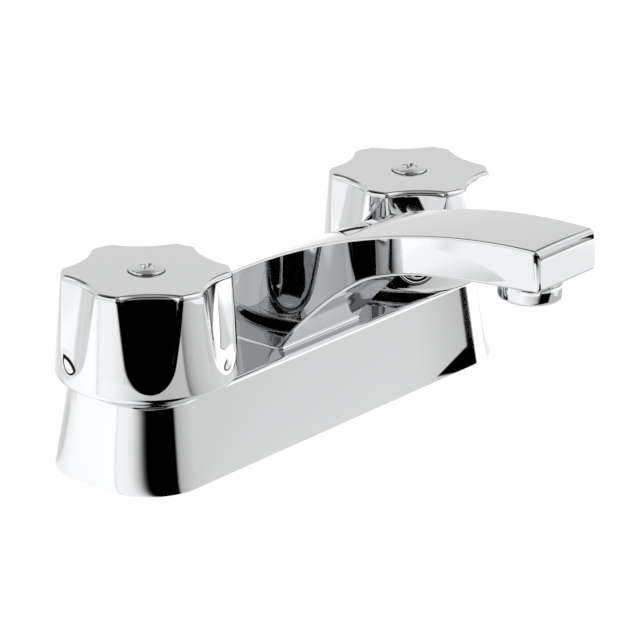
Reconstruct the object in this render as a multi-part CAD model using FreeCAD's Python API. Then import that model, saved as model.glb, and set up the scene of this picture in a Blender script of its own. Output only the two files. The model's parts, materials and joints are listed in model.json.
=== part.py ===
import FreeCAD, Part
import math
import os

V = FreeCAD.Vector
os.makedirs("parts", exist_ok=True)

# ---------------------------------------------------------------- driving dimensions (mm)
CENTRES = 101.6            # distance between the two valve axes (4 inch centerset)
HX = CENTRES / 2.0         # valve axis offset from the middle
# body outline: half length, half width, plan corner radius
BASE_L, BASE_W, BASE_R = 71.6, 20.8, 16.0      # at the sink deck, z = 0
DECK_L, DECK_W, DECK_R = 68.2, 17.5, 13.2      # at the top of the body
DECK_Z = 22.7              # height of the body's flat top
DECK_EDGE = 0.9            # rounding of the top edge
WALL = 3.0                 # casting wall
# spout: a slab that arches forward and tapers in plan
ROOT_Y, ROOT_HW = -12.9, 15.5
TIP_Y, TIP_HW = -89.5, 11.45
TOP_R, TOP_CY, TOP_Z = 179.0, -90.0, 66.0      # top arc: radius, y of its crest, crest height
TIP_Z0 = 55.5              # underside of the tip
BACK_Y = 16.2              # rear of the spout root
BACK_T = 8.0               # y where the rear rounding starts
UNDER = [(-12.9, 20.6), (-12.9, 22.7), (-14.6, 25.3), (-18.5, 30.0), (-22.5, 34.0),
         (-27.0, 38.3), (-32.8, 43.0), (-38.2, 46.7), (-44.6, 49.3), (-50.5, 51.0),
         (-57.3, 52.3), (-65.3, 53.2), (-76.4, 54.4), (-89.5, 55.5)]
TIP_TOP_R = 2.6            # rounding of the tip's upper front edge
# handle
KN_TOP, KN_BOT = 50.5, 23.7
KN_R_TOP, KN_R_SKIRT, KN_SKIRT_Z, KN_R_RIM = 20.9, 22.6, 25.9, 20.6
FL_N, FL_R, FL_A0 = 6, 19.5, 44.8              # flutes: count, cutter radius, angle of one of them
FL_TOP_R, FL_SLOPE, FL_END_Z = 17.8, 0.155, 33.8   # floor radius at the top, taper, centre of the round end
KN_TOP_EDGE = 1.3
# handle screw
SC_R, SC_UP, SC_SUNK, SC_SH = 4.5, 1.0, 1.0, 2.0
# valve body: barrel, flange under the deck, threaded shank
BAR_R, BAR_TOP, BAR_Z0, BORE_R = 11.5, 29.0, 2.0, 9.2
FLG_R, FLG_T = 14.2, 3.0
SH_R, NECK_R, GROOVE_R = 10.45, 10.2, 9.6
NECK_Z, SH_END = -8.0, -50.0
GROOVE_Z0, GROOVE_Z1 = -41.5, -40.0
SH_BORE, SEAT_Z = 6.0, 5.0
NOSE_R, NOSE_Z = 7.0, -45.0    # recess for the nose of the supply tube
# cross tubes and mixing tee
TUBE_Z, TUBE_RO, TUBE_RI = 10.5, 4.76, 4.0
TEE_R, TEE_HL, NIP_Y, NIP_R, NIP_TOP = 7.6, 13.0, -1.5, 6.4, 23.5
# cartridge
CART_RO, CART_RI, STEM_R, STEM_GAP = 8.3, 7.3, 4.5, 0.05
DISC_R, DISC_T = 7.0, 3.0
SPL_R0, SPL_R1, SPL_N = 3.75, 4.15, 20
# aerator
AE_Y, AE_R, AE_Z0 = -78.6, 8.0, 49.0
AE_TH, AE_TOP, AE_SEAT = 7.4, 58.2, 53.4
AE_BOSS = 7.7              # radius of the boss that the collar closes on
# fixing hardware below the sink deck
WASH_Z1, WASH_T, NUT_H = -25.0, 3.0, 11.0


# ---------------------------------------------------------------- helpers
def cyl(r, z0, z1, x=0.0, y=0.0):
    return Part.makeCylinder(r, z1 - z0, V(x, y, z0), V(0, 0, 1))


def cone(r0, r1, z0, z1, x=0.0, y=0.0):
    return Part.makeCone(r0, r1, z1 - z0, V(x, y, z0), V(0, 0, 1))


def rrect(L, W, r, z):
    """Rounded rectangle, half length L along X and half width W along Y."""
    k = r * (1 - math.sqrt(0.5))
    pts = [(-L + r, -W), (L - r, -W), (L - k, -W + k), (L, -W + r), (L, W - r), (L - k, W - k),
           (L - r, W), (-L + r, W), (-L + k, W - k), (-L, W - r), (-L, -W + r), (-L + k, -W + k)]
    p = [V(a, b, z) for a, b in pts]
    e = [Part.LineSegment(p[0], p[1]).toShape(), Part.Arc(p[1], p[2], p[3]).toShape(),
         Part.LineSegment(p[3], p[4]).toShape(), Part.Arc(p[4], p[5], p[6]).toShape(),
         Part.LineSegment(p[6], p[7]).toShape(), Part.Arc(p[7], p[8], p[9]).toShape(),
         Part.LineSegment(p[9], p[10]).toShape(), Part.Arc(p[10], p[11], p[0]).toShape()]
    return Part.Wire(e)


def revolve(profile, x=0.0, y=0.0):
    """Solid of revolution about the vertical axis from (r, z) points."""
    w = Part.makePolygon([V(r, 0, z) for r, z in profile + profile[:1]])
    s = Part.Face(w).revolve(V(0, 0, 0), V(0, 0, 1), 360)
    s.translate(V(x, y, 0))
    return s


def hexagon(af, z0, z1, x, y, turn=0.0):
    r = af / 2.0 / math.cos(math.radians(30))
    pts = [V(x + r * math.cos(math.radians(turn + 60 * i)), y + r * math.sin(math.radians(turn + 60 * i)), z0)
           for i in range(7)]
    return Part.Face(Part.makePolygon(pts)).extrude(V(0, 0, z1 - z0))


def star(r0, r1, n, z0, z1, x, y):
    """Fine straight splines: n teeth between radii r0 and r1."""
    pts = []
    for i in range(n):
        a = 2 * math.pi * i / n
        b = a + math.pi / n
        pts += [V(x + r1 * math.cos(a), y + r1 * math.sin(a), z0), V(x + r0 * math.cos(b), y + r0 * math.sin(b), z0)]
    pts.append(pts[0])
    return Part.Face(Part.makePolygon(pts)).extrude(V(0, 0, z1 - z0))


def save(shape, name):
    s = shape.removeSplitter() if name not in RAW else shape
    if not s.isValid():
        s = shape
    sol = s.Solids
    out = sol[0] if len(sol) == 1 else Part.makeCompound(sol)
    out.exportStep("parts/%s.step" % name)
    b = out.BoundBox
    print("%-24s solids %d valid %s vol %.1f  x %.1f..%.1f y %.1f..%.1f z %.1f..%.1f" % (
        name, len(sol), out.isValid(), out.Volume, b.XMin, b.XMax, b.YMin, b.YMax, b.ZMin, b.ZMax))
    return out


RAW = set()


def arc_z(y, off=0.0):
    r = TOP_R - off
    return TOP_Z - TOP_R + math.sqrt(r * r - (y - TOP_CY) ** 2)


def half_w(y):
    return ROOT_HW + (y - ROOT_Y) / (TIP_Y - ROOT_Y) * (TIP_HW - ROOT_HW)


# ---------------------------------------------------------------- body casting: cover and spout in one piece
def side_plan(inset, y0, y1, z0, z1):
    """Plan outline of the spout: planar sides that taper towards the tip."""
    pts = [V(-half_w(y0) + inset, y0, z0), V(half_w(y0) - inset, y0, z0),
           V(half_w(y1) - inset, y1, z0), V(-half_w(y1) + inset, y1, z0)]
    return Part.Face(Part.makePolygon(pts + pts[:1])).extrude(V(0, 0, z1 - z0))


def yz_solid(edges, half):
    face = Part.Face(Part.Wire(edges))
    face.translate(V(-half, 0, 0))
    return face.extrude(V(2 * half, 0, 0))


def spout_outer():
    P = lambda y, z: V(0, y, z)
    under = [P(*q) for q in UNDER]
    sp = Part.BSplineCurve()
    sp.interpolate(under[1:])
    top_tip = P(TIP_Y, arc_z(TIP_Y))
    t = P(BACK_T, arc_z(BACK_T))
    mid = P((TIP_Y + BACK_T) / 2, arc_z((TIP_Y + BACK_T) / 2))
    # rear rounding: tangent to the top arc at BACK_T, upright at BACK_Y
    ny, nz = (TOP_CY - BACK_T) / TOP_R, (TOP_Z - TOP_R - arc_z(BACK_T)) / TOP_R
    rho = (BACK_Y - BACK_T) / (1 + ny)
    cy, cz = BACK_T + rho * ny, arc_z(BACK_T) + rho * nz
    a0 = math.atan2(-nz, -ny)
    am = a0 / 2
    e = [Part.LineSegment(under[0], under[1]).toShape(), sp.toShape(),
         Part.LineSegment(under[-1], top_tip).toShape(), Part.Arc(top_tip, mid, t).toShape(),
         Part.Arc(t, P(cy + rho * math.cos(am), cz + rho * math.sin(am)), P(BACK_Y, cz)).toShape()]
    last = P(BACK_Y, 20.6)
    if abs(cz - 20.6) > 1e-3:
        e.append(Part.LineSegment(P(BACK_Y, cz), last).toShape())
    else:
        last = P(BACK_Y, cz)
    e.append(Part.LineSegment(last, under[0]).toShape())
    s = yz_solid(e, 25.0).common(side_plan(0.0, 18.0, -92.0, 15.0, 75.0))
    top_front = [x for x in s.Edges if all(abs(v.Point.y - TIP_Y) < 1e-3 and v.Point.z > 60 for v in x.Vertexes)]
    try:
        f = s.makeFillet(TIP_TOP_R, top_front)
        if f.isValid():
            s = f
    except Exception as ex:
        print("tip fillet left out:", ex)
    def corner(x):
        a, b = x.Vertexes[0].Point, x.Vertexes[-1].Point
        if len(x.Vertexes) < 2 or a.x * b.x <= 0:
            return False
        if a.distanceToPoint(b) < 0.5:
            return False
        return not (a.z < 22 or b.z < 22)
    try:
        f = s.makeFillet(0.8, [x for x in s.Edges if corner(x)])
        if f.isValid():
            s = f
    except Exception as ex:
        print("spout edge rounding left out:", ex)
    return s


def spout_core():
    """The cored waterway, one wall inside the spout, ending above the aerator."""
    P = lambda y, z: V(0, y, z)
    low = []
    for i in range(3, len(UNDER) - 3):
        (y0, z0), (y1, z1), (y2, z2) = UNDER[i - 1], UNDER[i], UNDER[i + 1]
        ty, tz = y2 - y0, z2 - z0
        n = math.hypot(ty, tz)
        low.append((y1 + WALL * tz / n, z1 - WALL * ty / n))
    low = [(NIP_Y - 5.4, 26.0)] + [q for q in low if q[1] > 27.5] + [(-67.0, 59.8), (-77.5, 60.2)]
    top = []
    y = -77.5
    while y < 3.4:
        top.append((y, arc_z(y, WALL)))
        y += 4.0
    top.append((NIP_Y + 5.4, arc_z(NIP_Y + 5.4, WALL)))
    pts = [P(*q) for q in low + top + [(NIP_Y + 5.4, 26.0)]]
    w = Part.makePolygon(pts + pts[:1])
    face = Part.Face(w)
    face.translate(V(-25, 0, 0))
    s = face.extrude(V(50, 0, 0)).common(side_plan(WALL, 12.0, -90.0, 15.0, 75.0))
    return s


body = Part.makeLoft([rrect(BASE_L, BASE_W, BASE_R, 0), rrect(DECK_L, DECK_W, DECK_R, DECK_Z)], True, True)
rim = [x for x in body.Edges if all(abs(v.Point.z - DECK_Z) < 1e-4 for v in x.Vertexes)]
try:
    f = body.makeFillet(DECK_EDGE, rim)
    body = f if f.isValid() else body
except Exception as ex:
    print("deck edge rounding left out:", ex)
inner = Part.makeLoft([rrect(BASE_L - WALL, BASE_W - WALL, BASE_R - WALL, -1.0),
                       rrect(DECK_L - WALL + 0.4, DECK_W - WALL + 0.4, DECK_R - WALL + 0.4, DECK_Z - WALL)], True, True)
casting = body.cut(inner)
spout = spout_outer()
casting = casting.fuse(spout)
# boss under the deck that takes the tee's nipple
casting = casting.fuse(cyl(9.6, 18.4, DECK_Z - 1.0, 0, NIP_Y))
casting = casting.cut(spout_core())
casting = casting.cut(cyl(NIP_R + 0.1, 15.0, 24.2, 0, NIP_Y))
casting = casting.cut(cyl(5.0, 20.0, 28.0, 0, NIP_Y))
for sx in (-1, 1):
    casting = casting.cut(cyl(BAR_R + 0.1, 10.0, 30.0, sx * HX, 0))
# aerator seat in the tip: short round boss with a flat face, thread bore, ledge for the washer
casting = casting.fuse(cyl(AE_BOSS, AE_SEAT, 58.0, 0, AE_Y))
casting = casting.cut(cyl(AE_TH, 50.0, 59.2, 0, AE_Y))
casting = casting.cut(cyl(5.2, 58.0, 62.6, 0, AE_Y))
save(casting, "body_casting")

# ---------------------------------------------------------------- base gasket, inside the rim, flush with it
gasket = Part.Face(rrect(BASE_L - WALL - 0.6, BASE_W - WALL - 0.6, BASE_R - WALL - 0.6, 0)).extrude(V(0, 0, 1.8))
for sx in (-1, 1):
    gasket = gasket.cut(cyl(SH_R + 0.1, -1, 3, sx * HX, 0))
save(gasket, "base_gasket")


# ---------------------------------------------------------------- one side's valve
def valve(side, x):
    toward = -1 if x > 0 else 1          # direction along X to the middle of the faucet
    # brass barrel with the threaded shank, one turned piece
    b = revolve([(SH_BORE, NOSE_Z), (NOSE_R, NOSE_Z), (NOSE_R, SH_END), (SH_R - 0.8, SH_END), (SH_R, SH_END + 0.8), (SH_R, GROOVE_Z0), (GROOVE_R, GROOVE_Z0),
                 (GROOVE_R, GROOVE_Z1), (SH_R, GROOVE_Z1), (SH_R, NECK_Z), (NECK_R, NECK_Z), (NECK_R, 0.0),
                 (SH_R, 0.0), (SH_R, BAR_Z0), (BAR_R, BAR_Z0), (BAR_R, DECK_Z - WALL - FLG_T), (FLG_R, DECK_Z - WALL - FLG_T),
                 (FLG_R, DECK_Z - WALL), (BAR_R, DECK_Z - WALL), (BAR_R, BAR_TOP), (BORE_R, BAR_TOP),
                 (BORE_R, SEAT_Z), (SH_BORE, SEAT_Z)], x, 0)
    port = Part.makeCylinder(TUBE_RI, BAR_R + 2, V(x, 0, TUBE_Z), V(toward, 0, 0))
    sock = Part.makeCylinder(TUBE_RO, 3.0, V(x + toward * (BORE_R + 0.8), 0, TUBE_Z), V(toward, 0, 0))
    b = b.cut(port.cut(cyl(BORE_R - 0.5, SEAT_Z + 1, 20, x, 0))).cut(sock)
    save(b, side + "_valve_body")
    # copper cross tube, brazed into the barrel and the tee
    x0, x1 = x + toward * (BORE_R + 0.8), -toward * (TEE_HL - 5.0)
    L = abs(x1 - x0)
    t = Part.makeCylinder(TUBE_RO, L, V(x0, 0, TUBE_Z), V(toward, 0, 0))
    t = t.cut(Part.makeCylinder(TUBE_RI, L + 2, V(x0 - toward, 0, TUBE_Z), V(toward, 0, 0)))
    save(t, side + "_cross_tube")
    # brass ring nut that clamps the cover to the barrel, hidden in the handle
    n = hexagon(28.0, DECK_Z, DECK_Z + 3.6, x, 0, 15).cut(cyl(BAR_R, 20, 30, x, 0))
    n = n.common(cone(16.6, 15.0, DECK_Z, DECK_Z + 3.6, x, 0))
    save(n, side + "_cover_locknut")
    # cartridge: bonnet with windows, hexagon on top of the barrel
    hex_ = hexagon(22.0, BAR_TOP, BAR_TOP + 3.5, x, 0, 0)
    bn = revolve([(CART_RI, 6.5), (CART_RO, 6.5), (CART_RO, 20.5), (BORE_R, 20.5), (BORE_R, BAR_TOP), (6.5, BAR_TOP),
                  (6.5, 37.0), (STEM_R + STEM_GAP, 37.0), (STEM_R + STEM_GAP, 21.5), (CART_RI, 21.5)], x, 0)
    ring = hex_.cut(cyl(6.0, 20, 40, x, 0))
    bn = bn.fuse(ring)
    for a in (0, 90, 180, 270):
        w = Part.makeBox(5.0, 6.0, 5.0, V(5.0, -3.0, 15.4))
        w.rotate(V(0, 0, 0), V(0, 0, 1), a + 45)
        w.translate(V(x, 0, 0))
        bn = bn.cut(w)
    save(bn, side + "_cartridge_bonnet")
    # stem: foot that drives the moving disc, shaft, splined end
    st = revolve([(0, 13.1), (6.9, 13.1), (6.9, 15.0), (5.2, 15.0), (5.2, 21.4), (STEM_R, 21.4), (STEM_R, 33.0), (3.2, 33.0),
                  (3.2, 34.4), (STEM_R, 34.4), (STEM_R, 37.2), (SPL_R0, 37.6), (SPL_R0, 44.6), (0, 44.6)], x, 0)
    st = st.fuse(star(SPL_R0, SPL_R1, SPL_N, 37.6, 44.6, x, 0))
    # two flats leave a way for the water past the foot, and a tongue drives the disc
    for s in (-1, 1):
        st = st.cut(Part.makeBox(14.4, 4.0, 2.4, V(x - 7.2, (4.2 if s > 0 else -8.2), 12.8)))
    st = st.fuse(Part.makeBox(8.0, 2.4, 1.2, V(x - 4.0, -1.2, 12.0)))
    st = st.cut(cyl(SC_SH, 34.6, 46, x, 0))
    save(st, side + "_stem")
    # stem O-ring, turns with the stem
    o = Part.makeTorus(3.86, 0.66, V(x, 0, 33.7), V(0, 0, 1))
    save(o, side + "_stem_o_ring")
    # moving ceramic disc with two quarter openings, tongue slot on top
    d = cyl(DISC_R, 9.56, 13.1, x, 0)
    for a in (45, 225):
        c = cyl(5.4, 9.0, 13.6, x, 0).cut(cyl(1.8, 8.0, 14.0, x, 0))
        q = Part.makePolygon([V(0, 0, 9.0), V(10 * math.cos(math.radians(a - 38)), 10 * math.sin(math.radians(a - 38)), 9.0),
                              V(10 * math.cos(math.radians(a + 38)), 10 * math.sin(math.radians(a + 38)), 9.0), V(0, 0, 9.0)])
        q = Part.Face(q).extrude(V(0, 0, 5))
        q.translate(V(x, 0, 0))
        d = d.cut(c.common(q))
    d = d.cut(Part.makeBox(8.0, 2.4, 1.4, V(x - 4.0, -1.2, 12.0)))
    save(d, side + "_moving_disc")
    # fixed ceramic disc, openings a quarter turn away: closed at rest
    d = cyl(CART_RI - 0.02, 6.5, 9.5, x, 0)
    for a in (135, 315):
        c = cyl(5.4, 6.0, 10, x, 0).cut(cyl(1.8, 5.0, 11.0, x, 0))
        q = Part.makePolygon([V(0, 0, 6.0), V(10 * math.cos(math.radians(a - 38)), 10 * math.sin(math.radians(a - 38)), 6.0),
                              V(10 * math.cos(math.radians(a + 38)), 10 * math.sin(math.radians(a + 38)), 6.0), V(0, 0, 6.0)])
        q = Part.Face(q).extrude(V(0, 0, 4.5))
        q.translate(V(x, 0, 0))
        d = d.cut(c.common(q))
    save(d, side + "_fixed_disc")
    # rubber seat seal between the disc and the seat
    save(cyl(8.0, SEAT_Z, 6.5, x, 0).cut(cyl(5.7, SEAT_Z - 1, 8, x, 0)), side + "_seat_seal")
    # handle screw, pan head with a cross recess
    prof = [(0, 36.0), (SC_SH, 36.0), (SC_SH, KN_TOP - SC_SUNK), (SC_R, KN_TOP - SC_SUNK), (SC_R, KN_TOP + 0.2),
            (SC_R - 0.25, KN_TOP + 0.6), (SC_R - 0.9, KN_TOP + 0.9), (SC_R - 1.8, KN_TOP + SC_UP), (0, KN_TOP + SC_UP)]
    s = revolve(prof, x, 0)
    for a in (14.2, 104.2):
        c = Part.makeBox(4.6, 0.95, 3.0, V(-2.3, -0.475, KN_TOP - 0.5))
        c.rotate(V(0, 0, 0), V(0, 0, 1), a)
        c.translate(V(x, 0, 0))
        s = s.cut(c)
    save(s, side + "_handle_screw")
    # handle: six-fluted knob, hollow beneath, splined boss inside
    k = revolve([(0, KN_BOT), (KN_R_RIM, KN_BOT), (KN_R_RIM + 0.9, KN_BOT + 0.25), (KN_R_SKIRT - 0.3, KN_BOT + 1.0),
                 (KN_R_SKIRT, KN_SKIRT_Z), (KN_R_TOP, KN_TOP), (0, KN_TOP)])
    tilt = math.atan(FL_SLOPE)
    for i in range(FL_N):
        # ball-nosed cutter leaning with the flute floor
        ux, uz = -math.sin(tilt), math.cos(tilt)          # axis direction, up and inward
        nx, nz = math.cos(tilt), math.sin(tilt)           # outward normal of the floor line
        r_end = FL_TOP_R + FL_SLOPE * (KN_TOP - FL_END_Z)
        cx, cz = r_end + FL_R * nx, FL_END_Z + FL_R * nz
        c = Part.makeCylinder(FL_R, 40.0, V(cx, 0, cz), V(ux, 0, uz)).fuse(Part.makeSphere(FL_R, V(cx, 0, cz)))
        c.rotate(V(0, 0, 0), V(0, 0, 1), FL_A0 + 60.0 * i)
        k = k.cut(c)
    top = [e for e in k.Edges if all(abs(v.Point.z - KN_TOP) < 1e-4 for v in e.Vertexes)]
    try:
        f = k.makeFillet(KN_TOP_EDGE, top)
        if f.isValid():
            k = f
        else:
            print("handle top rounding invalid")
    except Exception as ex:
        print("handle top rounding left out:", ex)
    k = k.cut(cone(18.3, 14.6, KN_BOT - 0.01, 45.0))
    k = k.fuse(cyl(7.0, 38.0, 45.5))
    k = k.cut(star(SPL_R0 + 0.04, SPL_R1 + 0.04, SPL_N, 37.0, 45.0, 0, 0))
    k = k.cut(cyl(SC_SH + 0.1, 44.0, 52.0)).cut(cyl(SC_R + 0.15, KN_TOP - SC_SUNK, 52.0))
    k.translate(V(x, 0, 0))
    save(k, side + "_handle")
    # fixing hardware under the sink deck
    w = cyl(19.0, WASH_Z1 - WASH_T, WASH_Z1, x, 0).cut(cyl(SH_R + 0.15, -40, 0, x, 0))
    save(w, side + "_mounting_washer")
    z1 = WASH_Z1 - WASH_T
    n = cyl(14.5, z1 - NUT_H, z1, x, 0)
    for a in (0, 90, 180, 270):
        wing = Part.makeBox(7.0, 3.6, NUT_H - 1.0, V(13.0, -1.8, z1 - NUT_H))
        wing.rotate(V(0, 0, 0), V(0, 0, 1), a + 45)
        wing.translate(V(x, 0, 0))
        n = n.fuse(wing)
    n = n.cut(cyl(SH_R, -60, 0, x, 0))
    save(n, side + "_mounting_nut")


valve("hot", -HX)
valve("cold", HX)

# ---------------------------------------------------------------- mixing tee with the outlet nipple
tee = Part.makeCylinder(TEE_R, 2 * TEE_HL, V(-TEE_HL, 0, TUBE_Z), V(1, 0, 0))
tee = tee.fuse(cyl(NIP_R, TUBE_Z, NIP_TOP, 0, NIP_Y))
tee = tee.cut(Part.makeCylinder(TUBE_RO, 5.0, V(-TEE_HL, 0, TUBE_Z), V(1, 0, 0)))
tee = tee.cut(Part.makeCylinder(TUBE_RO, 5.0, V(TEE_HL - 5.0, 0, TUBE_Z), V(1, 0, 0)))
tee = tee.cut(Part.makeCylinder(TUBE_RI, 30.0, V(-15.0, 0, TUBE_Z), V(1, 0, 0)))
tee = tee.cut(cyl(4.2, TUBE_Z, 26.0, 0, NIP_Y))
tee = tee.cut(cyl(NIP_R + 1, 20.0, 21.8, 0, NIP_Y).cut(cyl(NIP_R - 1.0, 19.0, 23.0, 0, NIP_Y)))
save(tee, "mixing_tee")
oring = Part.makeTorus(NIP_R - 0.45, 0.53, V(0, NIP_Y, 20.9), V(0, 0, 1))
save(oring, "outlet_o_ring")

# ---------------------------------------------------------------- aerator
h = revolve([(5.2, AE_Z0), (AE_R - 1.0, AE_Z0), (AE_R - 0.3, AE_Z0 + 0.3), (AE_R, AE_Z0 + 1.0), (AE_R, AE_SEAT),
             (AE_TH, AE_SEAT), (AE_TH, AE_TOP), (6.2, AE_TOP), (6.2, AE_Z0 + 1.2), (5.2, AE_Z0 + 1.2)], 0, AE_Y)
save(h, "aerator_housing")
ins = cyl(6.15, AE_Z0 + 1.2, 57.4, 0, AE_Y)
holes = []
for ring_r, cnt in ((0.0, 1), (2.1, 6), (4.2, 12)):
    for i in range(cnt):
        a = 2 * math.pi * i / cnt
        holes.append(cyl(0.75, AE_Z0, 58.0, ring_r * math.cos(a), AE_Y + ring_r * math.sin(a)))
ins = ins.cut(Part.makeCompound(holes))
save(ins, "aerator_insert")
wsh = cyl(AE_TH - 0.05, AE_TOP, 59.2, 0, AE_Y).cut(cyl(5.2, 55, 60, 0, AE_Y))
save(wsh, "aerator_washer")
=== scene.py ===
import json
import math

import bpy
import numpy as np
from mathutils import Matrix, Vector
from mathutils.geometry import tessellate_polygon


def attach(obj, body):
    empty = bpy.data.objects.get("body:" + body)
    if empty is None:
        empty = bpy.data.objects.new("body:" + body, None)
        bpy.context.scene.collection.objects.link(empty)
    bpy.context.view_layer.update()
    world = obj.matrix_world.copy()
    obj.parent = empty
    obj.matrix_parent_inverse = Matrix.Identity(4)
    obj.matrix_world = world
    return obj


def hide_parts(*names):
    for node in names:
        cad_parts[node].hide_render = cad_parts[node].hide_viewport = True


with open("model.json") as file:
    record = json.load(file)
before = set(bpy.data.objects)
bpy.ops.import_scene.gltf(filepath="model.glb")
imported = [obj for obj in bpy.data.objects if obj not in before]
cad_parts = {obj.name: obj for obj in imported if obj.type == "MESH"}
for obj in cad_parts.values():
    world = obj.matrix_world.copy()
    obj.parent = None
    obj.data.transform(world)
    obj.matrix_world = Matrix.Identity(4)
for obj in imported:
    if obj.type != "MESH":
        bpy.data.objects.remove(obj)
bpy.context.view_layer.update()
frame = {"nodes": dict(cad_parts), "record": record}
scene = bpy.context.scene

# ---------------------------------------------------------------- camera (mm and radians)
CAM_POS = (-717.63, -613.29, 385.47)
CAM_YAW, CAM_PITCH, CAM_ROLL, CAM_F = 0.87394, 0.36668, 0.01102, 3970.75


def make_camera():
    cy, sy, cp, sp = math.cos(CAM_YAW), math.sin(CAM_YAW), math.cos(CAM_PITCH), math.sin(CAM_PITCH)
    f = Vector((sy * cp, cy * cp, -sp))
    r = Vector((cy, -sy, 0.0))
    u = r.cross(f)
    cr, sr = math.cos(CAM_ROLL), math.sin(CAM_ROLL)
    right, up = r * cr + u * sr, u * cr - r * sr
    data = bpy.data.cameras.new("camera")
    data.sensor_width = 36.0
    data.lens = CAM_F * 36.0 / 640.0
    data.clip_start, data.clip_end = 0.01, 100.0
    o = bpy.data.objects.new("camera", data)
    scene.collection.objects.link(o)
    m = Matrix((right, up, -f)).transposed().to_4x4()
    m.translation = Vector(CAM_POS) * 0.001
    o.matrix_world = m
    scene.camera = o
    return o


make_camera()
scene.view_settings.view_transform = "Standard"

# ---------------------------------------------------------------- sizes, the same as the construction's (mm)
HX = 50.8
BASE = (71.6, 20.8, 16.0)
DECK = (68.2, 17.5, 13.2)
DECK_Z = 22.7
DECK_EDGE = 1.3
WALL = 3.0
ROOT_Y, ROOT_HW = -12.9, 15.5
TIP_Y, TIP_HW = -89.5, 11.45
TOP_R, TOP_CY, TOP_Z = 179.0, -90.0, 66.0
BACK_Y, BACK_T = 16.2, 8.0
UNDER = [(-12.9, 22.7), (-14.6, 25.3), (-18.5, 30.0), (-22.5, 34.0), (-27.0, 38.3), (-32.8, 43.0), (-38.2, 46.7),
         (-44.6, 49.3), (-50.5, 51.0), (-57.3, 52.3), (-65.3, 53.2), (-76.4, 54.4), (-89.5, 55.5)]
TIP_TOP_R, SP_EDGE, ROOT_FIL, CROWN = 2.6, 0.9, 0.45, 0.25
KN_TOP, KN_BOT = 50.5, 23.7
KN_R_TOP, KN_R_SKIRT, KN_SKIRT_Z = 20.9, 22.6, 25.9
FL_R, FL_A0, FL_TOP_R, FL_SLOPE, FL_END_Z = 19.5, 44.8, 17.8, 0.155, 33.8
KN_EDGE, KN_LOW, FL_SOFT = 1.3, 1.8, 0.5
AE_Y, AE_R, AE_Z0, AE_SEAT, AE_BOSS = -78.6, 8.0, 49.0, 53.4, 7.7
SH_R, SH_END, THREAD_P = 10.45, -50.0, 1.814


# ---------------------------------------------------------------- mesh helpers
class Build:
    """Collects points (mm), faces and a normal for each face corner."""

    def __init__(self):
        self.v, self.f, self.n = [], [], []

    def pts(self, p):
        i = len(self.v)
        self.v.extend([tuple(float(c) for c in q) for q in p])
        return list(range(i, i + len(p)))

    def face(self, idx, nrm):
        nrm = [tuple(n) for n in nrm]
        p = [np.array(self.v[i]) for i in idx]
        g = np.zeros(3)
        for k in range(1, len(p) - 1):
            g += np.cross(p[k] - p[0], p[k + 1] - p[0])
        if np.dot(g, np.sum(np.array(nrm), 0)) < 0:
            idx, nrm = idx[::-1], nrm[::-1]
        self.f.append(tuple(idx))
        self.n.extend(nrm)

    def flat(self, idx, n):
        self.face(list(idx), [n] * len(idx))

    def strip(self, a, b, na, nb, closed=True):
        m = len(a)
        for i in range(m if closed else m - 1):
            j = (i + 1) % m
            self.face([a[i], a[j], b[j], b[i]], [na[i], na[j], nb[j], nb[i]])

    def fan_flat(self, loops, z, n):
        """Flat face at height z with the loops' points; the first loop is the outline, the rest are holes. The argument
        z is not used; the face lies at the points' own height.
        """
        allp = [[Vector((self.v[i][0], self.v[i][1], 0)) for i in lp] for lp in loops]
        idx = [i for lp in loops for i in lp]
        for t in tessellate_polygon(allp):
            self.flat([idx[k] for k in t], n)

    def obj(self, name):
        me = bpy.data.meshes.new(name)
        me.from_pydata([(x * 0.001, y * 0.001, z * 0.001) for x, y, z in self.v], [], self.f)
        me.polygons.foreach_set("use_smooth", [True] * len(me.polygons))
        me.update()
        me.normals_split_custom_set(self.n)
        o = bpy.data.objects.new(name, me)
        scene.collection.objects.link(o)
        return o


def unit(a):
    a = np.asarray(a, float)
    return a / np.maximum(np.linalg.norm(a, axis=-1, keepdims=True), 1e-12)


def profile_normals(prof, soft=38.0):
    """For an (r, z) profile: the normals at both ends of each segment, shared across gentle bends."""
    p = np.array(prof, float)
    d = p[1:] - p[:-1]
    n = unit(np.stack([d[:, 1], -d[:, 0]], 1))
    na, nb = n.copy(), n.copy()
    for i in range(1, len(n)):
        if np.dot(n[i - 1], n[i]) > math.cos(math.radians(soft)):
            m = unit(n[i - 1] + n[i])
            nb[i - 1], na[i] = m, m
    return na, nb


def revolve(b, prof, seg=96, cx=0.0, cy=0.0, soft=38.0, close=True, flip=1.0):
    """Turned surface from (r, z) points listed so that the outside is on the right of the path."""
    prof = list(prof)
    if close:
        prof = prof + [prof[0]]
    na, nb = profile_normals(prof, soft)
    t = np.linspace(0, 2 * math.pi, seg, endpoint=False)
    c, s = np.cos(t), np.sin(t)
    rings = []
    for k, (r, z) in enumerate(prof[:-1] if close else prof):
        if r < 1e-6:
            rings.append(b.pts([(cx, cy, z)]))
        else:
            rings.append(b.pts(np.stack([cx + r * c, cy + r * s, np.full(seg, z)], 1)))
    for k in range(len(prof) - 1):
        A, B = rings[k], rings[(k + 1) % len(rings)]
        nA = np.stack([flip * na[k, 0] * c, flip * na[k, 0] * s, np.full(seg, flip * na[k, 1])], 1)
        nB = np.stack([flip * nb[k, 0] * c, flip * nb[k, 0] * s, np.full(seg, flip * nb[k, 1])], 1)
        if len(A) == 1 and len(B) == 1:
            continue
        if len(A) == 1:
            for i in range(seg):
                j = (i + 1) % seg
                b.face([A[0], B[j], B[i]], [nA[i], nB[j], nB[i]])
        elif len(B) == 1:
            for i in range(seg):
                j = (i + 1) % seg
                b.face([A[i], A[j], B[0]], [nA[i], nA[j], nB[i]])
        else:
            b.strip(A, B, nA, nB)
    return rings


# ---------------------------------------------------------------- body: cover and spout
NC, NX, NY = 22, 34, 8


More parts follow.
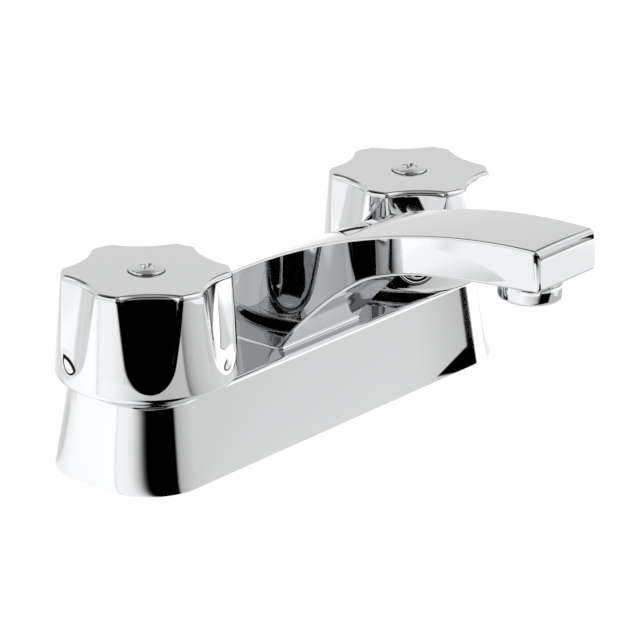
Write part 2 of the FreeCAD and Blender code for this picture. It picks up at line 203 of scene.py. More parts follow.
def rring(L, W, R):
    """Rounded rectangle, counter-clockwise, with plan normals."""
    P, N = [], []
    cs = [(1, -1, -90), (1, 1, 0), (-1, 1, 90), (-1, -1, 180)]
    for k, (sx, sy, a0) in enumerate(cs):
        cx, cy = sx * (L - R), sy * (W - R)
        for i in range(NC + 1):
            a = math.radians(a0 + 90.0 * i / NC)
            P.append((cx + R * math.cos(a), cy + R * math.sin(a)))
            N.append((math.cos(a), math.sin(a)))
        sx2, sy2, a1 = cs[(k + 1) % 4]
        q0, q1 = np.array(P[-1]), np.array((sx2 * (L - R) + R * math.cos(math.radians(a1)),
                                           sy2 * (W - R) + R * math.sin(math.radians(a1))))
        m = NY if k % 2 == 0 else NX
        for i in range(1, m):
            P.append(tuple(q0 + (q1 - q0) * i / m))
            N.append(N[-1])
    return np.array(P), np.array(N)


def lean(n2):
    """Slope of the wall (inward per mm of height) for plan normals."""
    dL, dW, dR = BASE[0] - DECK[0], BASE[1] - DECK[1], BASE[2] - DECK[2]
    return ((dL - dR) * np.abs(n2[:, 0]) + (dW - dR) * np.abs(n2[:, 1]) + dR) / DECK_Z


def arc_z(y):
    return TOP_Z - TOP_R + math.sqrt(TOP_R * TOP_R - (y - TOP_CY) ** 2)


def half_w(y):
    return ROOT_HW + (y - ROOT_Y) / (TIP_Y - ROOT_Y) * (TIP_HW - ROOT_HW)


def resample(pts, n, lo=0.0, hi=1.0, ease=None):
    pts = np.array(pts)
    s = np.r_[0, np.cumsum(np.linalg.norm(pts[1:] - pts[:-1], axis=1))]
    t = np.linspace(lo, hi, n) if ease is None else lo + (hi - lo) * ease(np.linspace(0, 1, n))
    q = t * s[-1]
    return np.stack([np.interp(q, s, pts[:, 0]), np.interp(q, s, pts[:, 1])], 1)


def natural_spline(pts, per=24):
    """Smooth curve through the points (natural cubic over chord length)."""
    p = np.array(pts, float)
    s = np.r_[0, np.cumsum(np.linalg.norm(p[1:] - p[:-1], axis=1))]
    n = len(s)
    h = s[1:] - s[:-1]
    A = np.zeros((n, n))
    A[0, 0] = A[-1, -1] = 1
    rhs = np.zeros((n, 2))
    for i in range(1, n - 1):
        A[i, i - 1], A[i, i], A[i, i + 1] = h[i - 1], 2 * (h[i - 1] + h[i]), h[i]
        rhs[i] = 6 * ((p[i + 1] - p[i]) / h[i] - (p[i] - p[i - 1]) / h[i - 1])
    M = np.linalg.solve(A, rhs)
    out = []
    for i in range(n - 1):
        for t in np.linspace(0, h[i], per, endpoint=False):
            a, b2 = h[i] - t, t
            out.append(M[i] * a ** 3 / (6 * h[i]) + M[i + 1] * b2 ** 3 / (6 * h[i])
                       + (p[i] / h[i] - M[i] * h[i] / 6) * a + (p[i + 1] / h[i] - M[i + 1] * h[i] / 6) * b2)
    out.append(p[-1])
    return np.array(out)


def smooth_curve(p, sigma):
    """Light smoothing along the curve, ends fixed."""
    q = p.copy()
    for _ in range(sigma):
        q[1:-1] = 0.25 * q[:-2] + 0.5 * q[1:-1] + 0.25 * q[2:]
    return q


def curve_normals(p):
    d = np.gradient(p, axis=0)
    d = unit(d)
    return np.stack([-d[:, 1], d[:, 0]], 1)


def body_mesh():
    b = Build()
    # --- walls and rounded deck edge
    rings, norms = [], []
    _, n2 = rring(*DECK)
    sl = lean(n2)
    al = np.arctan(sl)
    wn = unit(np.c_[n2, sl])
    z_t = DECK_Z - DECK_EDGE + DECK_EDGE * np.sin(al)
    low = 0.25
    for k, t in enumerate((0.0, low, 5.0, 10.0, 15.0, 19.0, None)):
        z = np.full(len(n2), t) if t is not None else z_t
        f = 1 - z / DECK_Z
        P = []
        base, _ = rring(*BASE)
        top, _ = rring(*DECK)
        P = top + (base - top) * f[:, None]
        if k == 0:
            P = P - n2 * low
        rings.append(b.pts(np.c_[P, z]))
        norms.append(wn)
    b.strip(rings[0], rings[1], unit(np.c_[n2, np.full(len(n2), -1.0)]), wn)
    for k in range(1, len(rings) - 1):
        b.strip(rings[k], rings[k + 1], norms[k], norms[k + 1])
    prev, pn = rings[-1], wn
    xc = DECK_EDGE * (1 - np.sin(al)) / np.cos(al)
    top, _ = rring(*DECK)
    for j in range(1, 9):
        th = al + (math.pi / 2 - al) * j / 8
        x = xc - DECK_EDGE * np.cos(th)
        z = DECK_Z - DECK_EDGE + DECK_EDGE * np.sin(th)
        P = top - n2 * x[:, None]
        nn = np.c_[n2 * np.cos(th)[:, None], np.sin(th)]
        r = b.pts(np.c_[P, z])
        b.strip(prev, r, pn, nn)
        prev, pn = r, nn
    deck_outer = prev
    # --- spout curves
    under = smooth_curve(natural_spline(UNDER), 60)
    ny, nz = (TOP_CY - BACK_T) / TOP_R, (TOP_Z - TOP_R - arc_z(BACK_T)) / TOP_R
    rho = (BACK_Y - BACK_T) / (1 + ny)
    cyb, czb = BACK_T + rho * ny, arc_z(BACK_T) + rho * nz
    a0, a1 = math.asin((DECK_Z - czb) / rho), math.atan2(-nz, -ny)
    over = [(cyb + rho * math.cos(a), czb + rho * math.sin(a)) for a in np.linspace(a0, a1, 60)]
    ys = np.linspace(BACK_T, TIP_Y, 260)[1:]
    over += [(y, arc_z(y)) for y in ys]
    over = np.array(over)
    M = 96
    U, T = resample(under, 400), resample(over, 400)
    nU, nT = curve_normals(U), curve_normals(T)
    if nU[200, 1] > 0:
        nU = -nU
    if nT[200, 1] < 0:
        nT = -nT
    # positions along the spout: even, ends handled apart
    qs = np.linspace(0.0, 1.0, M)

    def at(arr, q):
        i = q * (len(arr) - 1)
        k = int(min(max(math.floor(i), 0), len(arr) - 2))
        w = i - k
        return arr[k] * (1 - w) + arr[k + 1] * w

    side_n = unit([1.0, -(TIP_HW - ROOT_HW) / (TIP_Y - ROOT_Y), 0.0])
    NB, NR, NS, NT = 16, 6, 22, 16

    def ring(u, t, nu, nt, inset=0.0, rb=SP_EDGE, rt=SP_EDGE, crown=CROWN):
        """Closed section through the underside point u and the top point t (y, z), from the left bottom corner on."""
        e = t - u
        ln = np.linalg.norm(e)
        e = e / ln
        cu, ct = max(abs(np.dot(e, nu)), 0.35), max(abs(np.dot(e, nt)), 0.35)
        P, N = [], []
        nu3, nt3 = np.array([0, nu[0], nu[1]]), np.array([0, nt[0], nt[1]])

        def hw(y):
            return half_w(y) - inset

        for i in range(NB + 1):                      # underside, left to right
            k = -1 + 2.0 * i / NB
            P.append((k * (hw(u[0]) - rb), u[0], u[1]))
            N.append(nu3)
        for i in range(1, NR + 1):                   # right lower edge
            a = math.pi / 2 * i / NR
            d = rb * (1 - math.cos(a)) / cu
            p = u + e * d
            P.append((hw(p[0]) - rb + rb * math.sin(a), p[0], p[1]))
            N.append(unit(nu3 * math.cos(a) + side_n * math.sin(a)))
        d0, d1 = rb / cu, ln - rt / ct
        for i in range(1, NS + 1):                   # right side
            d = d0 + (d1 - d0) * i / NS
            p = u + e * d
            P.append((hw(p[0]), p[0], p[1]))
            N.append(side_n)
        for i in range(1, NR + 1):                   # right upper edge
            a = math.pi / 2 * i / NR
            d = ln - rt * (1 - math.sin(a)) / ct
            p = u + e * d - np.array(nt) * (crown * (1.0))
            P.append((hw(p[0]) - rt + rt * math.cos(a), p[0], p[1]))
            N.append(unit(side_n * math.cos(a) + nt3 * math.sin(a)))
        half = hw(t[0]) - rt
        for i in range(1, NT):                       # top, right to left
            k = 1 - 2.0 * i / NT
            c = crown * k * k
            P.append((k * half, t[0] - nt[0] * c, t[1] - nt[1] * c))
            N.append(unit(nt3 + np.array([2 * crown * k / half, 0, 0])))
        m = len(P)
        # mirror the right edges and side to the left
        right = [(P[i], N[i]) for i in range(NB + 1, NB + 2 * NR + NS + 1)]
        for p, n in reversed(right):
            P.append((-p[0], p[1], p[2]))
            N.append((-n[0], n[1], n[2]))
        return np.array(P), np.array(N)

    # soften the join of crown and edges: the sides of the ring come down with the crown near the top only
    # --- foot of the spout: fillet that runs out onto the deck
    u0, t0 = U[0], T[0]
    P0, N0 = ring(u0, t0, np.array([-1.0, 0.0]), np.array([1.0, 0.0]), crown=0.0)
    P0[:, 2] = DECK_Z
    Nf = N0.copy()
    Nf[:, 2] = 0
    Nf = unit(Nf)
    du = unit(U[6] - U[0])
    dt = unit(T[6] - T[0])
    beta_f = math.atan2(du[1], -du[0])
    beta_r = math.atan2(dt[1], dt[0])
    front = np.clip(-Nf[:, 1], 0, 1) ** 2
    rear = np.clip(Nf[:, 1], 0, 1) ** 2
    beta = math.pi / 2 + front * (beta_f - math.pi / 2) + rear * (beta_r - math.pi / 2)
    q = ROOT_FIL
    tl = q / np.tan(beta / 2)
    prev, pn = None, None
    for j in range(0, 7):
        a = (math.pi - beta) * j / 6
        o = tl - q * np.sin(a)
        h = q - q * np.cos(a)
        P = P0 + Nf * o[:, None]
        P[:, 2] = DECK_Z + h
        n = Nf * np.sin(a)[:, None]
        n[:, 2] = np.cos(a)
        r = b.pts(P)
        if prev is not None:
            b.strip(prev, r, pn, n)
        else:
            foot = r
        prev, pn = r, n
    # --- length of the spout
    s_u0 = 2.6 / np.linalg.norm(np.diff(U, axis=0), axis=1).sum()
    s_t0 = 2.0 / np.linalg.norm(np.diff(T, axis=0), axis=1).sum()
    rows = []
    LU = np.linalg.norm(np.diff(U, axis=0), axis=1).sum()
    LT = np.linalg.norm(np.diff(T, axis=0), axis=1).sum()
    qs = np.linspace(0, 1, M)
    for k, qk in enumerate(qs):
        qu = s_u0 + (1 - s_u0 - SP_EDGE / LU) * qk
        qt = s_t0 + (1 - s_t0 - TIP_TOP_R / LT) * qk
        cr = CROWN * min(1.0, max(0.0, (qk - 0.02) / 0.2))
        P, N = ring(at(U, qu), at(T, qt), unit(at(nU, qu)), unit(at(nT, qt)), crown=cr)
        rows.append((b.pts(P), P, N, at(U, qu)))
    b.strip(prev, rows[0][0], pn, rows[0][2])
    nring = len(rows[0][0])
    hole_rows = [k for k in range(M - 1) if rows[k][3][0] < AE_Y + 9.6 and rows[k + 1][3][0] > AE_Y - 9.6]
    for k in range(M - 1):
        A, B = rows[k][0], rows[k + 1][0]
        NA, NBm = rows[k][2], rows[k + 1][2]
        for i in range(nring):
            j = (i + 1) % nring
            if k in hole_rows and i < NB:
                continue
            b.face([A[i], A[j], B[j], B[i]], [NA[i], NA[j], NBm[j], NBm[i]])
    # --- underside round the aerator's boss: a face with a round hole
    ka, kb = hole_rows[0], hole_rows[-1] + 1
    loop = [rows[ka][0][i] for i in range(NB + 1)]
    loop += [rows[k][0][NB] for k in range(ka + 1, kb + 1)]
    loop += [rows[kb][0][i] for i in range(NB - 1, -1, -1)]
    loop += [rows[k][0][0] for k in range(kb - 1, ka, -1)]
    seg = 96
    tt = np.linspace(0, 2 * math.pi, seg, endpoint=False)
    order = np.argsort(U[:, 0])
    zy = lambda y: np.interp(y, U[order, 0], U[order, 1])
    ny_ = lambda y: unit(np.array([0.0, np.interp(y, U[order, 0], nU[order, 0]), np.interp(y, U[order, 0], nU[order, 1])]))
    cyl0 = b.pts([(AE_BOSS * math.cos(a), AE_Y + AE_BOSS * math.sin(a), zy(AE_Y + AE_BOSS * math.sin(a))) for a in tt])
    allp = [[Vector((b.v[i][0], b.v[i][1], 0)) for i in loop], [Vector((b.v[i][0], b.v[i][1], 0)) for i in cyl0]]
    idx = loop + cyl0
    for t in tessellate_polygon(allp):
        f = [idx[k] for k in t]
        b.face(f, [ny_(b.v[i][1]) for i in f])
    rad = np.stack([np.cos(tt), np.sin(tt), np.zeros(seg)], 1)
    cyl1 = b.pts([(AE_BOSS * math.cos(a), AE_Y + AE_BOSS * math.sin(a), AE_SEAT) for a in tt])
    b.strip(cyl0, cyl1, rad, rad)
    cyl2 = b.pts([(7.4 * math.cos(a), AE_Y + 7.4 * math.sin(a), AE_SEAT) for a in tt])
    dn = np.tile([0, 0, -1.0], (seg, 1))
    b.strip(cyl1, cyl2, dn, dn)
    cyl3 = b.pts([(7.4 * math.cos(a), AE_Y + 7.4 * math.sin(a), 59.2) for a in tt])
    b.strip(cyl2, cyl3, -rad, -rad)
    b.flat(cyl3, (0, 0, -1.0))
    # --- tip: rounded upper front edge, small rounding on the others, flat end
    prev, pn = rows[-1][0], rows[-1][2]
    uT, tT = at(U, 1 - SP_EDGE / LU), at(T, 1 - TIP_TOP_R / LT)
    nuT, ntT = unit(at(nU, 1.0)), unit(at(nT, 1.0))
    front_n = np.array([0.0, -1.0, 0.0])
    for j in range(1, 9):
        a = math.pi / 2 * j / 8
        sb, cb = math.sin(a), 1 - math.cos(a)
        u = np.array([TIP_Y + SP_EDGE * (1 - sb), U[-1][1] + SP_EDGE * cb])
        t = np.array([TIP_Y + TIP_TOP_R * (1 - sb), T[-1][1] - TIP_TOP_R * cb])
        P, N = ring(u, t, nuT, ntT, inset=SP_EDGE * cb, crown=CROWN * (1 - j / 8.0))
        N = unit(N * math.cos(a) + front_n * math.sin(a))
        r = b.pts(P)
        b.strip(prev, r, pn, N)
        prev, pn = r, N
    b.face(prev, [front_n] * len(prev))
    # --- deck with the two barrel holes
    holes, walls = [], []
    seg = 72
    th = np.linspace(0, 2 * math.pi, seg, endpoint=False)
    for sx in (-1, 1):
        c = [(sx * HX + 11.6 * math.cos(a), 11.6 * math.sin(a)) for a in th]
        holes.append(b.pts([(x, y, DECK_Z) for x, y in c]))
        walls.append(b.pts([(x, y, DECK_Z - WALL) for x, y in c]))
    b.fan_flat([deck_outer, foot] + holes, DECK_Z, (0, 0, 1.0))
    rad = np.stack([np.cos(th), np.sin(th), np.zeros(seg)], 1)
    for h, w in zip(holes, walls):
        b.strip(h, w, -rad, -rad)
    # --- hollow underneath
    inb, _ = rring(BASE[0] - WALL, BASE[1] - WALL, BASE[2] - WALL)
    inn, ni = rring(DECK[0] - WALL + 0.4, DECK[1] - WALL + 0.4, DECK[2] - WALL + 0.4)
    r0 = b.pts(np.c_[inb, np.zeros(len(inb))])
    r1 = b.pts(np.c_[inn, np.full(len(inn), DECK_Z - WALL)])
    dn = np.tile([0, 0, -1.0], (len(r0), 1))
    b.strip(rings[0], r0, dn, dn)
    n3 = np.c_[-ni, np.full(len(ni), -0.15)]
    b.strip(r0, r1, unit(n3), unit(n3))
    b.fan_flat([r1] + walls, DECK_Z - WALL, (0, 0, -1.0))
    return b.obj("body")


# ---------------------------------------------------------------- handle
def rmax(a, b, r):
    """Rounded union of two half spaces' outsides: an exact fillet of radius r."""
    m = np.minimum(np.maximum(a + r, b + r), 0.0)
    return m + np.sqrt(np.maximum(a + r, 0) ** 2 + np.maximum(b + r, 0) ** 2) - r


def smax(a, b, k):
    h = np.maximum(k - np.abs(a - b), 0.0)
    return np.maximum(a, b) + h * h / (4 * k)


def knob_field(x, y, z):
    """Signed distance-like field of the handle's outside."""
    rr = np.sqrt(x * x + y * y)
    slope = (KN_R_SKIRT - KN_R_TOP) / (KN_TOP - KN_SKIRT_Z)
    cs = 1 / math.sqrt(1 + slope * slope)
    cone = (rr - (KN_R_TOP + slope * (KN_TOP - z))) * cs
    # one flute's cutter, found in the nearest sixth
    a = np.arctan2(y, x) - math.radians(FL_A0)
    a = a - np.round(a / (math.pi / 3)) * (math.pi / 3)
    px, py = rr * np.cos(a), rr * np.sin(a)
    tilt = math.atan(FL_SLOPE)
    r_end = FL_TOP_R + FL_SLOPE * (KN_TOP - FL_END_Z)
    cx, cz = r_end + FL_R * math.cos(tilt), FL_END_Z + FL_R * math.sin(tilt)
    ux, uz = -math.sin(tilt), math.cos(tilt)
    t = np.maximum((px - cx) * ux + (z - cz) * uz, 0.0)
    d = np.sqrt((px - cx - t * ux) ** 2 + py ** 2 + (z - cz - t * uz) ** 2)
    side = smax(cone, FL_R - d, FL_SOFT)
    top = rmax(side, z - KN_TOP, KN_EDGE)
    return rmax(top, KN_BOT - z, KN_LOW)


def knob_mesh(name, x0):
    b = Build()
    seg = 6 * 84
    # angles, closer together at the flutes' ridges
    base = np.linspace(0, 1, 84, endpoint=False)
    grid = np.linspace(0, 1, 2001)
    dens = 1.0 + 1.6 * np.exp(-((grid - 0.11) / 0.05) ** 2) + 1.6 * np.exp(-((grid - 0.89) / 0.05) ** 2)
    cum = np.r_[0, np.cumsum((dens[1:] + dens[:-1]) / 2)]
    cum /= cum[-1]
    warp = np.interp(base, cum, grid)
    # 0 of each sixth is a lobe's middle
    ang = np.concatenate([math.radians(FL_A0 + 30.0 + 60.0 * k) + warp * math.pi / 3 for k in range(6)])
    ca, sa = np.cos(ang), np.sin(ang)

    def hit(r0, z0, dr, dz, far=12.0):
        """First crossing of the surface along rays in each angle's plane, from inside outwards."""
        lo, hi = np.zeros(seg), np.full(seg, far)
        for _ in range(44):
            m = (lo + hi) / 2
            r, z = r0 + m * dr, z0 + m * dz
            f = knob_field(r * ca, r * sa, z)
            lo, hi = np.where(f < 0, m, lo), np.where(f < 0, hi, m)
        m = (lo + hi) / 2
        r, z = r0 + m * dr, z0 + m * dz
        return np.stack([r * ca, r * sa, z + np.zeros(seg)], 1)

    def grad(P):
        e = 1e-3
        g = []
        for k in range(3):
            d = np.zeros(3)
            d[k] = e
            A, B = P + d, P - d
            g.append(knob_field(A[:, 0], A[:, 1], A[:, 2]) - knob_field(B[:, 0], B[:, 1], B[:, 2]))
        return unit(np.stack(g, 1))

    zero = np.zeros(seg)
    rows = []
    # lower edge: rays turning from down to level, from a point inside the rim
    zc = KN_BOT + 2.6
    for a in np.linspace(-70, 0, 15):
        rows.append(hit(zero + 19.3, zero + zc, math.cos(math.radians(a)), math.sin(math.radians(a))))
    zs = np.r_[np.linspace(zc, 30.0, 14)[1:], np.linspace(30.0, KN_TOP - 2.6, 44)[1:]]
    for z in zs:
        rows.append(hit(zero + 12.0, zero + z, 1.0, 0.0, far=14.0))
    zt = KN_TOP - 2.6
    # inner point for the top rounding follows the outline
    side_top = np.hypot(rows[-1][:, 0], rows[-1][:, 1])
    rin = side_top - 2.6
    for a in np.linspace(0, 90, 22)[1:]:
        rows.append(hit(rin, zero + zt, math.cos(math.radians(a)), math.sin(math.radians(a)), far=6.0))
    norm = [grad(P) for P in rows]
    up = np.tile([0, 0, 1.0], (seg, 1))
    norm[-1] = up
    ids = [b.pts(P) for P in rows]
    for k in range(len(ids) - 1):
        b.strip(ids[k], ids[k + 1], norm[k], norm[k + 1])
    # flat top to the screw's counterbore
    last, lastP = ids[-1], rows[-1]
    cb = 4.65
    circ = np.stack([cb * ca, cb * sa, zero + KN_TOP], 1)
    for t in (0.25, 0.5, 0.75, 0.97):
        P = lastP * (1 - t) + circ * t
        P[:, 2] = KN_TOP
        r = b.pts(P)
        b.strip(last, r, up, up)
        last = r
    radn = np.stack([ca, sa, zero], 1)

    def ring(r, z):
        return b.pts(np.stack([r * ca, r * sa, zero + z], 1))

    # counterbore, screw hole, spline bore, inner boss, hollow
    prof = [(4.65, KN_TOP - 0.12), (4.65, 49.5), (2.1, 49.5), (2.1, 45.0), (4.19, 45.0), (4.19, 38.0), (7.0, 38.0), (7.0, 45.0),
            (14.6, 45.0), (18.3, KN_BOT)]
    prev = ring(*prof[0])
    b.strip(last, prev, up, unit(up * 0.7 - radn * 0.7))
    for (r0, z0), (r1, z1) in zip(prof[:-1], prof[1:]):
        cur = ring(r1, z1)
        n = unit(np.array([z1 - z0, -(r1 - r0)]))
        # the path runs down the hole and out again, so the outside is on its left
        n3 = -np.stack([n[0] * ca * -1, n[0] * sa * -1, zero + n[1] * -1], 1)
        b.strip(prev, cur, n3, n3)
        prev = cur
    down = -up
    b.strip(prev, ids[0], down, norm[0])
    v = np.array(b.v)
    v[:, 0] += x0
    b.v = [tuple(p) for p in v]
    return b.obj(name)


# ---------------------------------------------------------------- handle screw: pan head with a cross recess
def screw_mesh(name, x0, turn):
    z = KN_TOP
    b = Build()
    prof = [(0.0, 36.0), (1.7, 36.0), (2.0, 36.3), (2.0, 49.5), (4.5, 49.5), (4.5, z + 0.15)]
    for a in np.linspace(0, 90, 9)[1:]:
        prof.append((4.5 - 0.55 * (1 - math.cos(math.radians(a))), z + 0.15 + 0.5 * math.sin(math.radians(a))))
    for t in np.linspace(0, 1, 8)[1:]:
        r = 3.95 * (1 - t)
        prof.append((r, z + 1.0 - 0.35 * (r / 3.95) ** 2))
    revolve(b, prof, seg=96, cx=x0, cy=0.0, soft=38, close=False)
    o = b.obj(name)
    # cross-shaped tool, pointed like the driver that fits it
    c = Build()
    for k in range(2):
        w, L, top, bot = 0.5, 2.45, z + 1.6, z - 0.9
        a = math.radians(turn + 90 * k)
        ux, uy = math.cos(a), math.sin(a)
        P = []
        for (l, zz, ww) in ((L, top, w + 0.12), (L * 0.42, bot, w * 0.7)):
            for s1, s2 in ((-1, -1), (1, -1), (1, 1), (-1, 1)):
                P.append((x0 + s1 * l * ux - s2 * ww * uy, s1 * l * uy + s2 * ww * ux, zz))
        i = c.pts(P)
        ctr = np.mean(np.array(P), 0)
        for f in ((0, 1, 2, 3), (4, 5, 6, 7), (0, 1, 5, 4), (1, 2, 6, 5), (2, 3, 7, 6), (3, 0, 4, 7)):
            q = np.array([P[j] for j in f])
            n = unit(np.cross(q[1] - q[0], q[2] - q[0]))
            if np.dot(n, q.mean(0) - ctr) < 0:
                n = -n
            c.flat([i[j] for j in f], n)
    tool = c.obj(name + "_tool")
    m = o.modifiers.new("cross", "BOOLEAN")
    m.object, m.operation, m.solver = tool, "DIFFERENCE", "EXACT"
    m.use_self = True
    dg = bpy.context.evaluated_depsgraph_get()
    me = bpy.data.meshes.new_from_object(o.evaluated_get(dg))
    o.modifiers.clear()
    o.data = me
    bpy.data.objects.remove(tool)
    me.polygons.foreach_set("use_smooth", [True] * len(me.polygons))
    me.set_sharp_from_angle(angle=math.radians(35))
    me.update()
    return o


# ---------------------------------------------------------------- turned pieces
def collar_mesh():
    b = Build()
    prof = [(5.2, AE_Z0 + 0.25)]
    prof += [(5.2 + 0.25 * (1 - math.cos(a)), AE_Z0 + 0.25 * (1 - math.sin(a))) for a in np.linspace(0, math.pi / 2, 5)[1:]]
    r = 1.15
    prof += [(AE_R - r + r * math.sin(a), AE_Z0 + r - r * math.cos(a)) for a in np.linspace(0, math.pi / 2, 12)]
    prof += [(AE_R, AE_Z0 + 2.4), (AE_R, AE_SEAT - 0.3)]
    prof += [(AE_R - 0.3 + 0.3 * math.cos(a), AE_SEAT - 0.3 + 0.3 * math.sin(a)) for a in np.linspace(0, math.pi / 2, 5)[1:]]
    prof += [(7.4, AE_SEAT), (7.4, 58.2), (6.2, 58.2), (6.2, AE_Z0 + 1.2), (5.2, AE_Z0 + 1.2)]
    revolve(b, prof, seg=144, cy=AE_Y)
    return b.obj("aerator_collar")


def valve_mesh(name, x0):
    """Turned barrel with a threaded shank: the thread is cut as a helix."""
    b = Build()
    seg = 96
    t = np.linspace(0, 2 * math.pi, seg, endpoint=False)
    c, s = np.cos(t), np.sin(t)
    zs = []
    step = THREAD_P / 11.0
    z = SH_END
    while z < -8.0:
        zs.append(z)
        z += step
    zs.append(-8.0)
    depth = 0.75

    def rad(z, t):
        ph = ((z / THREAD_P - t / (2 * math.pi)) % 1.0)
        tri = np.abs(ph - 0.5) * 2                    # 0 at the root, 1 at the crest
        v = np.clip((tri - 0.12) / 0.76, 0, 1)
        r = SH_R - depth * (1 - v)
        r = np.minimum(r, SH_R - 0.8 + np.maximum(z - SH_END, 0) * 1.0 + 0.0 * t)   # chamfered end
        run = np.clip((-8.0 - z) / 1.5, 0, 1)          # the thread runs out at the neck
        r = np.where(z > -9.5, 10.2 - (10.2 - r) * run, r)
        g = np.clip(np.minimum(z + 41.6, -39.9 - z) / 0.1, 0, 1)     # clip groove
        return r * (1 - g) + np.minimum(r, 9.6) * g

    rows = []
    for z in zs:
        r = rad(z + 0 * t, t)
        rows.append(np.stack([x0 + r * c, r * s, np.full(seg, z)], 1))
    ids = [b.pts(p) for p in rows]

    def nrm(z):
        e = 0.02
        r = rad(z + 0 * t, t)
        rz = (rad(z + e + 0 * t, t) - rad(z - e + 0 * t, t)) / (2 * e)
        rt = (rad(z + 0 * t, t + 0.01) - rad(z + 0 * t, t - 0.01)) / 0.02
        return unit(np.stack([c + s * rt / r, s - c * rt / r, -rz], 1))

    N = [nrm(z) for z in zs]
    for k in range(len(ids) - 1):
        b.strip(ids[k], ids[k + 1], N[k], N[k + 1])
    # the rest of the barrel, the bore and the socket for the supply tube's nose
    prof = [(10.2, -8.0), (10.2, 0.0), (10.45, 0.0), (10.45, 2.0), (11.1, 2.0), (11.5, 2.4), (11.5, 16.7), (14.0, 16.7),
            (14.2, 16.9), (14.2, 19.5), (14.0, 19.7), (11.5, 19.7), (11.5, 28.7), (11.2, 29.0), (9.2, 29.0), (9.2, 5.0), (6.0, 5.0),
            (6.0, -45.0), (7.0, -45.0), (7.0, -50.0), (SH_R - 0.8, SH_END)]
    na, nb = profile_normals(prof)
    prev = ids[-1]
    first = ids[0]
    for k in range(1, len(prof)):
        r, z = prof[k]
        cur = first if k == len(prof) - 1 else b.pts(np.stack([x0 + r * c, r * s, np.full(seg, z)], 1))
        nA = np.stack([na[k - 1, 0] * c, na[k - 1, 0] * s, np.full(seg, na[k - 1, 1])], 1)
        nB = np.stack([nb[k - 1, 0] * c, nb[k - 1, 0] * s, np.full(seg, nb[k - 1, 1])], 1)
        b.strip(prev, cur, nA, nB)
        prev = cur
    return b.obj(name)


# ---------------------------------------------------------------- materials
def material(name, base, metallic, rough, rough_var=0.0, scale=400.0, bump=0.0, bump_scale=900.0, colour_var=0.0,
             stretch=(1, 1, 1), **extra):
    m = bpy.data.materials.new(name)
    m.use_nodes = True
    nt = m.node_tree
    p = nt.nodes["Principled BSDF"]
    p.inputs["Base Color"].default_value = (*base, 1)
    p.inputs["Metallic"].default_value = metallic
    p.inputs["Roughness"].default_value = rough
    for k, v in extra.items():
        p.inputs[k.replace("_", " ")].default_value = v
    tc = nt.nodes.new("ShaderNodeTexCoord")
    mp = nt.nodes.new("ShaderNodeMapping")
    mp.inputs["Scale"].default_value = stretch
    nt.links.new(tc.outputs["Object"], mp.inputs["Vector"])
    if rough_var > 0:
        n = nt.nodes.new("ShaderNodeTexNoise")
        n.inputs["Scale"].default_value = scale
        n.inputs["Detail"].default_value = 3.0
        nt.links.new(mp.outputs["Vector"], n.inputs["Vector"])
        r = nt.nodes.new("ShaderNodeMapRange")
        r.inputs["From Min"].default_value, r.inputs["From Max"].default_value = 0.3, 0.7
        r.inputs["To Min"].default_value, r.inputs["To Max"].default_value = max(rough - rough_var, 0.0), rough + rough_var
        nt.links.new(n.outputs["Fac"], r.inputs["Value"])
        nt.links.new(r.outputs["Result"], p.inputs["Roughness"])
    if colour_var > 0:
        n = nt.nodes.new("ShaderNodeTexNoise")
        n.inputs["Scale"].default_value = scale * 0.35
        n.inputs["Detail"].default_value = 5.0
        nt.links.new(mp.outputs["Vector"], n.inputs["Vector"])
        cr = nt.nodes.new("ShaderNodeValToRGB")
        cr.color_ramp.elements[0].position, cr.color_ramp.elements[1].position = 0.3, 0.7
        cr.color_ramp.elements[0].color = (*[c * (1 - colour_var) for c in base], 1)
        cr.color_ramp.elements[1].color = (*[min(c * (1 + colour_var), 1) for c in base], 1)
        nt.links.new(n.outputs["Fac"], cr.inputs["Fac"])
        nt.links.new(cr.outputs["Color"], p.inputs["Base Color"])
    if bump > 0:
        n = nt.nodes.new("ShaderNodeTexNoise")
        n.inputs["Scale"].default_value = bump_scale
        n.inputs["Detail"].default_value = 2.0
        nt.links.new(mp.outputs["Vector"], n.inputs["Vector"])
        bp = nt.nodes.new("ShaderNodeBump")
        bp.inputs["Strength"].default_value = 1.0
        bp.inputs["Distance"].default_value = bump
        nt.links.new(n.outputs["Fac"], bp.inputs["Height"])
        nt.links.new(bp.outputs["Normal"], p.inputs["Normal"])
    return m


MAT = {
    "chrome": material("chrome_plate", (0.64, 0.645, 0.652), 1.0, 0.03, rough_var=0.012, scale=120.0, bump=2e-6, bump_scale=60.0),
    "brass": material("turned_brass", (0.66, 0.47, 0.20), 1.0, 0.24, rough_var=0.08, scale=900.0, colour_var=0.10, bump=4e-6,
                      bump_scale=1500.0, stretch=(1, 1, 9)),
    "copper": material("drawn_copper", (0.72, 0.36, 0.22), 1.0, 0.22, rough_var=0.08, scale=500.0, colour_var=0.14, bump=3e-6,
                       bump_scale=1200.0, stretch=(0.1, 1, 1)),
    "rubber": material("black_rubber", (0.018, 0.018, 0.019), 0.0, 0.62, rough_var=0.1, scale=900.0, bump=8e-6, bump_scale=2500.0),
    "ceramic": material("lapped_ceramic", (0.86, 0.85, 0.80), 0.0, 0.16, rough_var=0.05, scale=600.0, colour_var=0.03),
    "white_plastic": material("white_acetal", (0.80, 0.81, 0.81), 0.0, 0.38, rough_var=0.06, scale=700.0, bump=2e-6, bump_scale=1800.0),
    "nut_plastic": material("dark_nylon", (0.055, 0.056, 0.06), 0.0, 0.42, rough_var=0.08, scale=500.0, colour_var=0.12, bump=6e-6,
                            bump_scale=1600.0),
    "steel": material("zinc_plated_steel", (0.50, 0.51, 0.53), 1.0, 0.30, rough_var=0.1, scale=260.0, colour_var=0.10, bump=3e-6,
                      bump_scale=900.0),
}
